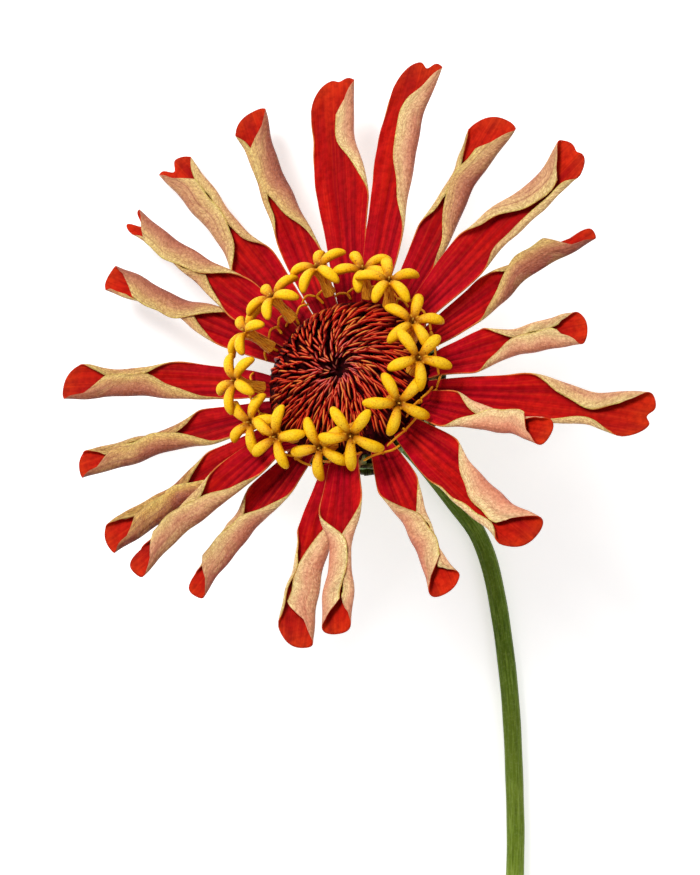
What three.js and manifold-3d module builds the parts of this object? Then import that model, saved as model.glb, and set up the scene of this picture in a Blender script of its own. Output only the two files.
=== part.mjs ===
// A cut zinnia flower lying face up on a level surface, in millimetres, with +Z up.
//
// Twenty-one ray florets with rolled petals ring a chaffy red disc that carries thirteen open
// yellow florets. Below them are a receptacle, two rows of bracts and one long bent stem. The
// head leans over its stem and rests on its lowest petals. The origin is under the middle of the
// whole flower, on the surface it lies on.

import * as THREE from "three";
import { mergeVertices } from "three/addons/utils/BufferGeometryUtils.js";
import Module from "manifold-3d";

const wasm = await Module();
wasm.setup();

// Driving dimensions.
const HEAD_HEIGHT = 20.3; // from the surface up to the centre of the ring where the petals join
const HEAD_TILT = 33; // degrees between the head's axis and the vertical
const HEAD_LEAN = 132; // compass direction that the axis leans to, in degrees from +X
const RING_RADIUS = 11.8; // where a petal's midrib starts
const LEVEL_STEP = 1.0; // height between the overlapping layers of petals
const PETAL_THICKNESS = 0.4;
const PETAL_CLAW = 0.36; // a petal's width where it joins, as a share of its full width
const TROUGH = 24; // degrees that an unrolled margin still turns up
const ROLL_TURN = 195; // degrees that a rolled margin turns over
const ROLL_RADIUS = 0.5;
const SEAM = 0.5; // gap between a petal's two rolled margins where they meet over its midrib
const TUBE_LENGTH = 3.6; // a disc floret's tube, up to its throat
const LOBE_LENGTH = 4;
const LOBE_WIDTH = 1.15;
const LOBE_RISE = 35; // degrees that a lobe slopes up where it leaves the throat
const LOBE_ARCH = 80; // degrees that it turns down by its tip
const CUP_RADIUS = 10.6; // the receptacle is half an ellipsoid
const CUP_DEPTH = 6.7;
const CUP_RIM = -0.9; // height of its rim
const BRACT_THICKNESS = 0.5;
const STEM_RADIUS = 1.2;
const NECK_RADIUS = 2.0;
const NECK_LENGTH = 16; // length over which the neck narrows to the stem
const GAP = 0.3; // clearance between pieces that touch

const COLOURS = {
  petal: { color: 0xb8150f, roughness: 0.6, metalness: 0 },
  floret: { color: 0xf5b800, roughness: 0.7, metalness: 0 },
  chaff: { color: 0x6e0c0c, roughness: 0.8, metalness: 0 },
  green: { color: 0x5d7f34, roughness: 0.6, metalness: 0 },
};

// One row for each ray floret, turning anticlockwise from the head's own +X.
// azimuth: compass direction of the midrib. reach: centre of the head to the tip.
// width: flat width. level: layer it joins in, 0 lowest. rise: slope where it joins.
// arch: change of slope by the tip. sway: sideways turn by the tip.
// left, right: share of the half width that stays flat before that margin rolls over, at five
// stations from the claw to the tip. rounding: how far the tip's corners draw back, as a share of
// the length. notch: depth of the notch in the tip.
const RAY_FIELDS = [
  "azimuth", "reach", "width", "level", "rise", "arch", "sway", "left", "right", "rounding", "notch",
];
const RAYS = [
  [3.5, 32.5, 7.6, 1, 10, -4, 0, [1.25, 1.2, 0.7, 0.6, 0.85], [1.25, 1.15, 0.6, 0.5, 0.8], 0.12, 0],
  [25.5, 36, 7.6, 0, 10, -4, 0, [1.25, 1.2, 0.75, 0.5, 0.5], [1.25, 1.05, 0.35, 0.25, 0.4], 0.12, 0],
  [40.6, 40.4, 8.4, 1.5, 10, -4, 0, [1.25, 1.2, 0.8, 0.35, 0.8], [1.25, 1.2, 0.8, 0.8, 1.1], 0.1, 0.03],
  [58.7, 38.5, 8, 0, 10, -4, 0, [1.25, 1.15, 0.75, 0.8, 1.1], [1.25, 0.9, 0.42, 0.4, 0.7], 0.12, 0],
  [77.2, 43, 8, 1, 10, -4, 0, [1.25, 1.25, 1.2, 1.1, 1.2], [1.25, 1, 0.5, 0.4, 0.75], 0.1, 0.04],
  [94.6, 42, 8, 0, 10, -4, 0, [1.25, 1.25, 1.15, 1.05, 1.15], [1.25, 1.25, 0.95, 0.5, 0.65], 0.1, 0.02],
  [111.5, 41.3, 8, 1, 9, -6, 0, [1.25, 1.15, 0.75, 0.75, 1], [1.25, 0.95, 0.4, 0.32, 0.5], 0.1, 0],
  [130, 42.7, 8.2, 0, 8, -6, 0, [1.25, 1.2, 0.55, 0.4, 0.6], [1.25, 1.15, 0.7, 0.65, 0.95], 0.08, 0.05],
  [142, 40, 8, 1.4, 8, -6, 0, [1.25, 1.05, 0.5, 0.4, 0.5], [1.25, 1.15, 0.5, 0.4, 0.45], 0.05, 0.08],
  [153.4, 38.2, 8, 0, 9, -5, 0, [1.25, 1.05, 0.5, 0.45, 0.7], [1.25, 0.9, 0.4, 0.35, 0.45], 0.08, 0],
  [179.8, 38, 7.8, 1, 10, -4, 0, [1.25, 0.9, 0.48, 0.42, 0.5], [1.25, 1.2, 0.85, 0.7, 1], 0.12, 0],
  [-162.3, 36.5, 7.8, 0, 10, -4, 0, [1.25, 0.9, 0.45, 0.42, 0.47], [1.25, 1.1, 0.6, 0.52, 0.8], 0.1, 0],
  [-142, 36.5, 8, 1, 10, -4, 0, [1.25, 0.9, 0.48, 0.42, 0.5], [1.25, 1.1, 0.65, 0.6, 0.85], 0.1, 0],
  [-131.5, 36, 8, 2.9, 10, -4, 0, [1.25, 0.95, 0.42, 0.35, 0.45], [1.25, 1.15, 0.65, 0.5, 0.55], 0.1, 0],
  [-120, 33.7, 8, 0, 10, -4, 0, [1.25, 0.95, 0.42, 0.35, 0.45], [1.25, 1.1, 0.65, 0.5, 0.55], 0.1, 0],
  [-91.4, 37.6, 8, 1, 10, -4, 0, [1.25, 0.9, 0.4, 0.25, 0.5], [1.25, 1.25, 0.9, 0.85, 1.1], 0.12, 0],
  [-83.2, 37, 7.8, 2.8, 10, -4, 0, [1.25, 1.1, 0.5, 0.5, 0.5], [1.25, 1.15, 0.5, 0.5, 0.65], 0.08, 0],
  [-62.3, 35.2, 7.6, 0, 10, -4, 0, [1.25, 1.15, 0.6, 0.5, 0.85], [1.25, 1.05, 0.42, 0.4, 0.55], 0.1, 0],
  [-42.5, 37.5, 8.2, 1, 10, -4, 0, [1.25, 1.15, 0.5, 0.38, 0.7], [1.25, 1.2, 0.9, 0.8, 1.15], 0.12, 0],
  [-25.3, 35, 7.6, 2, 20, 0, 0, [1.25, 0.95, 0.45, 0.4, 0.6], [1.25, 1.05, 0.5, 0.4, 0.6], 0.12, 0],
  [-13.3, 42.8, 7.6, 0, 10, -6, -5, [1.25, 1.2, 0.9, 0.55, 0.9], [1.25, 1.2, 1, 0.8, 1.15], 0.1, 0.03],
];

// One row for each open disc floret: compass direction, distance from the head's axis, height of
// its throat, degrees that it leans out, and the direction of its first lobe from straight out.
const FLORETS = [
  [101.5, 12.6, 7.7, 28, 3],
  [74.5, 12.3, 6.8, 28, 48],
  [50, 11.8, 8.4, 28, 52],
  [19.5, 11.5, 7.2, 24, 65],
  [-8, 12.2, 8, 32, 64],
  [-36.5, 11.9, 7, 44, 10],
  [-69.5, 12.2, 8.4, 40, 43],
  [-91.5, 12.1, 6.8, 30, 60],
  [-118, 12.1, 8.2, 26, 44],
  [-142, 12.6, 6.8, 26, 61],
  [-167, 12.1, 8.4, 32, 63],
  [157.5, 12.8, 6.8, 36, 42],
  [133, 11.5, 8.9, 28, 62],
];

// Rows of bracts round the receptacle. offset: gap under the row. from, to: degrees up the cup,
// from its foot, where a bract starts and ends. turn: compass direction of the first bract.
const BRACT_ROWS = [
  { name: "inner_bract", count: 13, offset: GAP, from: 45, to: 92, turn: 0 },
  { name: "outer_bract", count: 8, offset: 2 * GAP + BRACT_THICKNESS, from: 14, to: 60, turn: 10 },
];

// The stem's middle line, from the neck to the cut end, measured from the centre of the head in
// plan and from the surface in height.
const STEM_ROUTE = [
  [2.9, -3.2, 13.55],
  [5.5, -5.5, 9.2],
  [9.3, -10, 4.6],
  [13.2, -15, 2.1],
  [16.8, -20, 1.35],
  [19, -27.3, STEM_RADIUS],
  [20.8, -40.6, STEM_RADIUS],
  [21.5, -55, STEM_RADIUS],
  [21.5, -64, STEM_RADIUS],
  [21, -80, STEM_RADIUS],
  [20, -100, STEM_RADIUS],
  [19.5, -115, STEM_RADIUS],
];

const radians = THREE.MathUtils.degToRad;

function smooth(x) {
  return THREE.MathUtils.smoothstep(x, 0, 1);
}

// A slab of across by along cells, one unit thick, whose every vertex is moved by shape(s, t, side):
// s runs from -1 to 1 across, t from 0 to 1 along, and side is -1 below and 1 above.
function shapedSlab(across, along, shape) {
  const slab = new THREE.BoxGeometry(2, 1, 2, across, along, 1);
  const place = slab.getAttribute("position");
  for (let i = 0; i < place.count; i++) {
    const moved = shape(place.getX(i), place.getY(i) + 0.5, place.getZ(i));
    place.setXYZ(i, moved.x, moved.y, moved.z);
  }
  slab.computeVertexNormals();
  return slab;
}

// A petal's half width at a share t of its length: a narrow claw, then a spoon with a blunt tip.
function petalHalfWidth(width, t) {
  const spoon = Math.sin((Math.PI / 2) * Math.min(1, t / 0.8)) ** 1.2;
  const blunt = 0.12 * Math.max(0, (t - 0.75) / 0.25) ** 2;
  return (width / 2) * (PETAL_CLAW + (1 - PETAL_CLAW) * spoon - blunt);
}

// The value at a share t of the way along a smooth curve through values at even stations.
function alongStations(values, t) {
  return new THREE.SplineCurve(values.map((value, i) => new THREE.Vector2(i, value))).getPoint(t).y;
}

// How far a petal has turned up at a share s of its half width, in radians, where the middle of
// the fold is at the share flat and the fold takes the share fold.
function turnAt(s, flat, fold) {
  return radians(TROUGH * s + (ROLL_TURN - TROUGH) * smooth((s - flat) / fold + 0.5));
}

// The midrib's place and directions at a share t of the length.
function midribFrame(ray, t) {
  const steps = 12;
  const length = ray.reach - RING_RADIUS;
  const at = new THREE.Vector3(RING_RADIUS, 0, 0.2 + LEVEL_STEP * ray.level);
  at.applyAxisAngle(new THREE.Vector3(0, 0, 1), radians(ray.azimuth));
  const along = new THREE.Vector3();
  for (let i = 0; i <= steps; i++) {
    const share = (t * (i + 0.5)) / steps;
    const slope = radians(ray.rise + ray.arch * share * share);
    const heading = radians(ray.azimuth + ray.sway * share * share);
    along.set(Math.cos(heading), Math.sin(heading), 0).multiplyScalar(Math.cos(slope));
    along.z = Math.sin(slope);
    if (i < steps) at.addScaledVector(along, (t * length) / steps);
  }
  const heading = radians(ray.azimuth + ray.sway * t * t);
  const left = new THREE.Vector3(-Math.sin(heading), Math.cos(heading), 0);
  const up = new THREE.Vector3().crossVectors(along, left);
  return { at, left, up };
}

// A ray floret's petal: a slab whose margins turn up from the midrib and roll over it. Where the
// two would cross, each stops short of the other.
function petalGeometry(ray) {
  const steps = 16;
  return shapedSlab(12, 10, (s, t, side) => {
    const drawnBack = ray.rounding * Math.abs(s) ** 3 + ray.notch * Math.exp(-((s / 0.18) ** 2));
    const along = t - drawnBack * smooth((t - 0.55) / 0.45);
    const { at, left, up } = midribFrame(ray, along);
    const halfWidth = petalHalfWidth(ray.width, along);
    const flats = [alongStations(ray.left, along), alongStations(ray.right, along)];
    const flat = s < 0 ? flats[0] : flats[1];
    const crossing = SEAM / 2 + halfWidth * (1 - flats[0] - flats[1]);
    const share = Math.abs(s) * (1 - Math.max(0, crossing) / halfWidth);
    const fold = (Math.PI * ROLL_RADIUS) / halfWidth;
    const step = (share * halfWidth) / steps;
    let out = 0;
    let over = 0;
    for (let i = 0; i < steps; i++) {
      const turn = turnAt((share * (i + 0.5)) / steps, flat, fold);
      out += Math.cos(turn) * step;
      over += Math.sin(turn) * step;
    }
    const turn = turnAt(share, flat, fold);
    const half = (side * PETAL_THICKNESS) / 2;
    out -= Math.sin(turn) * half;
    over += Math.cos(turn) * half;
    return at.clone().addScaledVector(left, -Math.sign(s) * out).addScaledVector(up, over);
  });
}

function solidOf(geometry) {
  const bare = geometry.clone();
  bare.deleteAttribute("normal");
  bare.deleteAttribute("uv");
  const merged = mergeVertices(bare, 1e-4);
  return new wasm.Manifold(
    new wasm.Mesh({
      numProp: 3,
      vertProperties: merged.getAttribute("position").array,
      triVerts: new Uint32Array(merged.index.array),
    }),
  );
}

function geometryOf(solid) {
  const mesh = solid.getMesh();
  const geometry = new THREE.BufferGeometry();
  geometry.setAttribute("position", new THREE.BufferAttribute(mesh.vertProperties, 3));
  geometry.setIndex(new THREE.BufferAttribute(mesh.triVerts, 1));
  geometry.computeVertexNormals();
  return geometry;
}

function latheGeometry(points, segments) {
  const profile = points.map(([radius, height]) => new THREE.Vector2(radius, height));
  return new THREE.LatheGeometry(profile, segments).rotateX(Math.PI / 2);
}

// One of a floret's five lobes: a blunt finger that arches outwards and down.
function lobeGeometry(spin) {
  const finger = new THREE.CapsuleGeometry(LOBE_WIDTH / 2, LOBE_LENGTH - LOBE_WIDTH, 1, 6, 3);
  const place = finger.getAttribute("position");
  const rise = radians(LOBE_RISE);
  const bend = LOBE_LENGTH / radians(LOBE_ARCH);
  for (let i = 0; i < place.count; i++) {
    const angle = (place.getY(i) + LOBE_LENGTH / 2) / bend - rise;
    const lift = bend + 0.8 * place.getZ(i);
    const out = 0.3 + bend * Math.sin(rise) + lift * Math.sin(angle);
    place.setXYZ(i, out, -place.getX(i), lift * Math.cos(angle) - bend * Math.cos(rise));
  }
  return finger.rotateZ(spin);
}

// An open disc floret: a tube with five lobes, its throat at the origin, facing +Z.
function floretGeometry(turn) {
  const tube = [[0, -TUBE_LENGTH], [0.7, -TUBE_LENGTH], [0.6, -1.6], [1, 0], [0, 0.4]];
  let floret = solidOf(latheGeometry(tube, 8));
  for (let lobe = 0; lobe < 5; lobe++) {
    floret = floret.add(solidOf(lobeGeometry(radians(turn + lobe * 72))));
  }
  return geometryOf(floret);
}

// A point over the receptacle: degrees up from its foot, compass direction, distance above it.
function overCup(up, azimuth, offset) {
  const across = (CUP_RADIUS + offset) * Math.sin(radians(up));
  const height = CUP_RIM - (CUP_DEPTH + offset) * Math.cos(radians(up));
  return new THREE.Vector3(across * Math.cos(azimuth), across * Math.sin(azimuth), height);
}

// A bract: a thin scale that follows the receptacle and ends in a round tip.
function bractGeometry(row, i) {
  const middle = radians(row.turn) + (2 * Math.PI * i) / row.count;
  return shapedSlab(4, 4, (s, t, side) => {
    const up = row.from + (row.to - row.from) * t * (1 - 0.16 * s * s * t);
    const roundedTip = 1 - 0.45 * t ** 4;
    const halfAngle = (Math.PI / row.count) * 0.9 * roundedTip;
    const offset = row.offset + ((1 + side) / 2) * BRACT_THICKNESS;
    return overCup(up, middle + s * halfAngle, offset);
  });
}

function receptacleGeometry() {
  const profile = [[0, CUP_RIM - CUP_DEPTH]];
  for (let up = 12; up <= 90; up += 13) {
    const edge = overCup(up, 0, 0);
    profile.push([edge.x, edge.z]);
  }
  profile.push([0, CUP_RIM]);
  return latheGeometry(profile, 24);
}

// The dome of chaff, with a dimple in the middle.
function discGeometry() {
  const foot = CUP_RIM + GAP;
  const dome = [[11, 0.8], [10.6, 3], [9, 4.6], [6.5, 5.5], [3.5, 5.2], [1.2, 4.4]];
  return latheGeometry([[0, foot], [10.4, foot], ...dome, [0, 4.1]], 24);
}

// A round stem of ten sides bent along its route, thicker at the neck.
function stemGeometry() {
  const route = new THREE.CatmullRomCurve3(STEM_ROUTE.map((place) => new THREE.Vector3(...place)));
  const steps = 44;
  const stem = new THREE.CylinderGeometry(1, 1, 1, 10, steps);
  const place = stem.getAttribute("position");
  const vertical = new THREE.Vector3(0, 0, 1);
  for (let i = 0; i < place.count; i++) {
    const share = 0.5 - place.getY(i);
    const along = route.getTangentAt(share);
    const side = new THREE.Vector3().crossVectors(vertical, along).normalize();
    const up = new THREE.Vector3().crossVectors(along, side);
    const narrowed = smooth((share * route.getLength()) / NECK_LENGTH);
    const radius = NECK_RADIUS + (STEM_RADIUS - NECK_RADIUS) * narrowed;
    const moved = route.getPointAt(share);
    moved.addScaledVector(side, radius * place.getX(i)).addScaledVector(up, radius * place.getZ(i));
    place.setXYZ(i, moved.x, moved.y, moved.z);
  }
  return stem;
}

function namedMesh(name, geometry, colour) {
  const mesh = new THREE.Mesh(geometry, new THREE.MeshStandardMaterial(colour));
  mesh.name = name;
  return mesh;
}

function numbered(name, i) {
  return `${name}_${String(i + 1).padStart(2, "0")}`;
}

// The head, about its own upright axis.
const head = new THREE.Group();
RAYS.forEach((row, i) => {
  const ray = Object.fromEntries(RAY_FIELDS.map((field, column) => [field, row[column]]));
  head.add(namedMesh(numbered("ray_petal", i), petalGeometry(ray), COLOURS.petal));
});
FLORETS.forEach(([azimuth, distance, height, lean, turn], i) => {
  const floret = namedMesh(numbered("disc_floret", i), floretGeometry(turn), COLOURS.floret);
  floret.position.set(distance, 0, height);
  floret.rotation.y = radians(lean);
  const arm = new THREE.Group();
  arm.rotation.z = radians(azimuth);
  arm.add(floret);
  head.add(arm);
});
for (const row of BRACT_ROWS) {
  for (let i = 0; i < row.count; i++) {
    head.add(namedMesh(numbered(row.name, i), bractGeometry(row, i), COLOURS.green));
  }
}
head.add(namedMesh("receptacle", receptacleGeometry(), COLOURS.green));
head.add(namedMesh("chaffy_disc", discGeometry(), COLOURS.chaff));

// The head leans over, and the stem stays on the surface.
const leanAxis = new THREE.Vector3(-1, 0, 0);
leanAxis.applyAxisAngle(new THREE.Vector3(0, 0, 1), radians(HEAD_LEAN - 90));
head.quaternion.setFromAxisAngle(leanAxis, radians(HEAD_TILT));
head.position.z = HEAD_HEIGHT;

const flower = new THREE.Group();
flower.add(head, namedMesh("stem", stemGeometry(), COLOURS.green));

// The origin goes under the middle of the whole flower, on the surface.
const box = new THREE.Box3().setFromObject(flower, true);
const middle = box.getCenter(new THREE.Vector3());
flower.position.set(-middle.x, -middle.y, -box.min.z);

export default flower;
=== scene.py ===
"""A zinnia flower lying face up on a pale surface: the looks around its fixed frame.

Every shape of the head is worked out in millimetres in the head's own frame, whose +Z is the
head's axis and whose origin is the middle of the ring where the petals join. HEAD takes it to
the row frame, and STEM does the same for what lies on the surface.
"""
import math
from collections import namedtuple

import bpy
import numpy as np
from mathutils import Matrix, Vector


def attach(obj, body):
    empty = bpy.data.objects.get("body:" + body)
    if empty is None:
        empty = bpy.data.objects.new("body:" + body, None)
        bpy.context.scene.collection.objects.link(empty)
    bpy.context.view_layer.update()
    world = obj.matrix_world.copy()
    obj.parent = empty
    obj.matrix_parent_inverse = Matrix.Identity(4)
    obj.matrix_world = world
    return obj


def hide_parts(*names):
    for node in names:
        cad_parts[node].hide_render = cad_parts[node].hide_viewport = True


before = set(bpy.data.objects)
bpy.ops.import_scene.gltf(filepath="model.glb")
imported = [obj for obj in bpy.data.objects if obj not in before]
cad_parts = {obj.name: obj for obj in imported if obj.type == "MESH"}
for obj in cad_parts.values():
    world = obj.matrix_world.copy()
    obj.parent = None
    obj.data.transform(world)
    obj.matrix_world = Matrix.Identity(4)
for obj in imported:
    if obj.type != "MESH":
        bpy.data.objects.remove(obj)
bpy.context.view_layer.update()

MM = 0.001
SEED = 7

# The head, as the frame holds it.
DISC_FOOT = -0.6  # height of the chaffy disc's foot on the head's axis
RING_RADIUS = 11.8  # where a petal's midrib starts
CUP_RADIUS = 10.6  # the receptacle is half an ellipsoid
CUP_DEPTH = 6.7
CUP_RIM = -0.9  # height of its rim

# Petals.
PETAL_THICKNESS = 0.17
PETAL_CLAW = 0.46  # a petal's width where it joins, as a share of its full width
TROUGH = 24  # degrees that an unrolled margin still turns up
ROLL_TURN = (199, 185)  # degrees that the lower and the upper rolled margin turn over
ROLL_RADIUS = (0.45, 0.58)
BROADER = 0.2  # share that the upper margin's roll is broader by
OVERLAP = 0.4  # length of the lower margin that the upper one covers where the two meet
CLAW_LENGTH = 2.4  # how far a petal's claw runs in under the disc from the ring
CLAW_RISE = 0.2  # height of the claws over the ring
NOTCH_WIDTH = 0.18  # of the notch in a tip, as a share of the half width
SIDE_GROOVE = 0.34  # place of the grooves beside the midrib, as a share of the half width
GROOVE_DEPTH = 0.24
PUCKER_DEPTH = 0.07  # of the puckers along a margin
WIDTH_WAVE = 0.035  # share that a petal's width varies by along it
FOLD_WAVE = 0.03  # share that the line where it folds wanders by
STYLE_FOOT = (11.3, 0.6)  # radius, and height over its petal's level, of a style's foot
STYLE_FORK = (12.2, 1.4)  # the same of its fork

Ray = namedtuple("Ray", "azimuth reach width level rise arch sway left right rounding notch warmth")

# One row for each ray floret, turning anticlockwise from the head's own +X.
# azimuth: compass direction of the midrib. reach: centre of the head to the tip.
# width: flat width. level: height where it joins. rise: slope where it joins.
# arch: change of slope by the tip. sway: sideways turn by the tip.
# left, right: share of the half width that stays flat before the margin rolls over, at four even
# stations, the last at the tip. rounding: how far the tip's corners draw back. notch: depth of
# the notch in the tip. warmth: how brown the underside is, from cream at 0 to brown at 1.
RAYS = [
    (3.5, 32.5, 7.6, 1, 10, -4, 0, (1.2, .7, .6, .85), (1.15, .6, .5, .8), .12, 0, .35),
    (25.5, 36, 7.6, 0, 10, -4, 0, (1.2, .75, .5, .5), (1.05, .35, .25, .4), .12, 0, .75),
    (40.6, 40.4, 8.4, 1.5, 10, -4, 0, (1.2, .8, .35, .8), (1.2, .8, .8, 1.1), .1, .015, .5),
    (58.7, 38.5, 8, 0, 10, -4, 0, (1.15, .75, .8, 1.1), (.9, .42, .4, .7), .12, 0, .7),
    (77.2, 43, 8, 1, 10, -4, 0, (1.25, 1.2, 1.1, 1.2), (1, .5, .4, .75), .1, .03, .4),
    (94.6, 42, 8, 0, 10, -4, 0, (1.25, 1.15, 1.05, 1.15), (1.25, 1, .55, .66), .1, .015, .3),
    (111.5, 41.3, 8, 1, 9, -6, 0, (1.15, .75, .75, 1), (.95, .4, .32, .5), .1, 0, .75),
    (130, 42.7, 8.2, 0, 8, -6, 0, (1.2, .55, .4, .6), (1.15, .7, .65, .95), .08, .05, .6),
    (142, 40, 8, 1.4, 8, -6, 0, (1.05, .5, .4, .5), (1.15, .5, .4, .45), .05, .08, .65),
    (153.4, 38.2, 8, 0, 9, -5, 0, (1.05, .5, .45, .7), (.9, .4, .35, .45), .08, 0, .7),
    (179.8, 38, 7.8, 1, 10, -4, 0, (.9, .48, .42, .5), (1.2, .85, .7, 1), .12, 0, .8),
    (-162.3, 36.5, 7.8, 0, 10, -4, 0, (.9, .45, .42, .47), (1.1, .6, .52, .8), .1, 0, .85),
    (-142, 36.5, 8, 1, 10, -4, 0, (.9, .48, .42, .5), (1.1, .65, .6, .85), .1, 0, 1),
    (-131.5, 36, 8, 2.9, 10, -4, 0, (.95, .42, .35, .45), (1.15, .65, .5, .55), .1, 0, .6),
    (-120, 33.7, 8, 0, 10, -4, 0, (.95, .42, .35, .45), (1.1, .65, .5, .55), .1, 0, .5),
    (-91.4, 37.6, 8, 1, 10, -4, 0, (.9, .4, .25, .5), (1.25, .9, .85, 1.1), .12, 0, .2),
    (-83.2, 37, 7.8, 2.8, 10, -4, 0, (1.1, .5, .5, .5), (1.15, .5, .5, .65), .08, 0, .2),
    (-62.3, 35.2, 7.6, 0, 10, -4, 0, (1.15, .6, .5, .85), (1.05, .42, .4, .55), .1, 0, .25),
    (-42.5, 37.5, 8.2, 1, 10, -4, 0, (1.15, .5, .38, .7), (1.2, .9, .8, 1.15), .12, 0, .05),
    (-25.3, 35, 7.6, 2, 20, 0, 0, (.95, .45, .4, .6), (1.05, .5, .4, .6), .12, 0, .1),
    (-13.3, 42.8, 7.6, 0, 10, -6, -5, (1.2, .9, .55, .9), (1.2, 1, .8, 1.15), .1, .03, .45),
]
RAYS = [Ray(*row) for row in RAYS]
CLAW_FLAT = 1.25  # the same share at the claw, where no margin rolls over

# Chaff: scales in a spiral over a dome, each leaning in to the middle of the head.
DOME = [  # radius and height of the surface that the scales' tips reach
    (0, 4.1), (1.2, 4.4), (3.5, 5.2), (6.5, 5.5), (9, 4.6), (10.6, 3), (11, 0.8),
]
DOME_DEPTH = 1.5  # from the scales' tips down to the dome they stand on
DOME_FOOT_RADIUS = 10.2
DOME_WAIST = (10.5, 0.4)  # radius and height where the dome is widest
CHAFF_COUNT = 400
CHAFF_LEFT_OUT = 12  # places left empty at the start of the spiral
CHAFF_REACH = 11  # radius of the outermost scale of the spiral
CHAFF_SINK = 0.3  # how far a scale's foot is sunk in the dome
CHAFF_SLOPE = 74  # degrees that a scale rises at its foot
CHAFF_LAID = 34  # degrees that the outermost scale still rises at its tip
CHAFF_BEND = 1.15  # how soon along a scale its slope has changed
CHAFF_SWIRL = 5  # degrees that a scale points to the side of the middle
CHAFF_THICKNESS = 0.08
FOLD_STEEPNESS = 62  # degrees between a scale's flanks and its face
FLANK_COUNT = 54  # scales in each upright row round the dome's flank
FLANK_RADIUS = 10.9
FLANK_FEET = (-0.5, 0.5)  # heights of the rows' feet
GOLDEN_ANGLE = math.pi * (3 - math.sqrt(5))

# Open disc florets.
LOBES = 5
TUBE_LENGTH = 4.0  # down from the throat
LOBE_LENGTH = 4.3
LOBE_WIDTH = 1.38
LOBE_RISE = 38  # degrees that a lobe slopes up where it leaves the throat
LOBE_ARCH = 92  # degrees that it turns down by its tip
LOBE_START = 0.35  # radius where a lobe leaves the throat
FLORET_VOXEL = 0.11

# One row for each open disc floret: compass direction, distance from the head's axis, height of
# its throat, degrees that it leans out, and the direction of its first lobe from straight out.
FLORETS = [
    (101.5, 12.6, 7.7, 28, 3), (74.5, 12.3, 6.8, 28, 48), (50, 11.8, 8.4, 28, 52),
    (19.5, 11.3, 7.2, 24, 65), (-8, 12.2, 7.9, 32, 66), (-36.5, 11.9, 7.2, 44, 7),
    (-69.5, 12.2, 8.4, 40, 43), (-91.5, 12, 6.8, 30, 60), (-118, 12.1, 8.2, 26, 44),
    (-142, 12.6, 6.8, 26, 61), (-167, 12.1, 8.4, 32, 63), (157.5, 12.8, 6.8, 36, 45),
    (133, 11.4, 8.7, 28, 66),
]

# Bracts. offset: gap under the row. start, end: degrees up the receptacle, from its foot, where a
# bract starts and ends. first: compass direction of the first bract.
BRACT_THICKNESS = 0.34
BRACT_ROWS = [
    ("inner_bract", 13, 0.35, 40, 93, 0),
    ("outer_bract", 8, 1.05, 10, 63, 10),
]

# The stem's middle line, from the neck to the cut end, measured from the centre of the head in
# plan and from the surface in height.
STEM_RADIUS = 1.2
NECK_RADIUS = 2.0
NECK_LENGTH = 16  # length over which the neck narrows to the stem
STEM_RIBS = 9
RIB_HEIGHT = 0.035  # of the stem's ribs, as a share of its radius
STEM_ROUTE = [
    (2.9, -3.2, 13.55), (5.5, -5.5, 9.2), (9.3, -10, 4.6), (13.2, -15, 2.1), (16.8, -20, 1.35),
    (19, -27.3, 1.2), (20.8, -40.6, 1.2), (21.5, -55, 1.2), (21.5, -64, 1.2), (21, -80, 1.2),
    (20, -100, 1.2), (19.5, -115, 1.2),
]

# The studio, with places in metres from the centre of the head.
LAMPS = [  # name, place, size and power
    ("key", (-0.35, 0.4, 0.55), 0.3, 5.0),
    ("fill", (0.5, -0.3, 0.7), 0.7, 1.5),
]
FLOOR_SIZE = 3
FLOOR_GAP = 0.0002  # between the floor and the lowest petal
CAMERA_PLACE = (-0.000125, -0.00694, 0.4)
LENS = 131.66
SENSOR_WIDTH = 36


def unique_places(node):
    """The separate vertex places of a CAD node, in metres."""
    places = np.array([vertex.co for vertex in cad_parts[node].data.vertices])
    return np.unique(places.round(6), axis=0)


def head_matrix():
    """From the head's own frame, in millimetres, to the row frame, in metres."""
    disc = unique_places("chaffy_disc")
    cup = unique_places("receptacle")
    axis = disc.mean(0) - cup.mean(0)
    axis /= np.linalg.norm(axis)
    foot = (disc @ axis).min()
    on_axis = disc.mean(0)
    centre = on_axis + (foot - DISC_FOOT * MM - on_axis @ axis) * axis
    tilt = Vector((0, 0, 1)).rotation_difference(Vector(axis)).to_matrix().to_4x4()
    return Matrix.Translation(Vector(centre)) @ tilt @ Matrix.Scale(MM, 4)


HEAD = head_matrix()
HEAD_PLACE = HEAD.to_translation()
STEM = Matrix.Translation((HEAD_PLACE.x, HEAD_PLACE.y, 0)) @ Matrix.Scale(MM, 4)


def smooth(x):
    """0 up to 0, 1 from 1 on, and an even passage between."""
    x = np.clip(x, 0, 1)
    return x * x * (3 - 2 * x)


def turn(degrees, axis="Z"):
    return Matrix.Rotation(math.radians(degrees), 4, axis)


def round_places(radius, angle, height):
    return np.stack([radius * np.cos(angle), radius * np.sin(angle), height], 1)


def along_stations(values, t):
    """The value at t, from 0 to 1, of a smooth curve through values at even stations."""
    values = np.array(values, float)
    first = 2 * values[:1] - values[1:2]
    last = 2 * values[-1:] - values[-2:-1]
    points = np.concatenate([first, values, last])
    place = np.clip(t, 0, 1) * (len(values) - 1)
    i = np.minimum(place.astype(int), len(values) - 2)
    f = (place - i).reshape((-1,) + (1,) * (values.ndim - 1))
    a, b, c, d = points[i], points[i + 1], points[i + 2], points[i + 3]
    return b + 0.5 * f * (c - a + f * (2 * a - 5 * b + 4 * c - d + f * (3 * (b - c) + d - a)))


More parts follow.
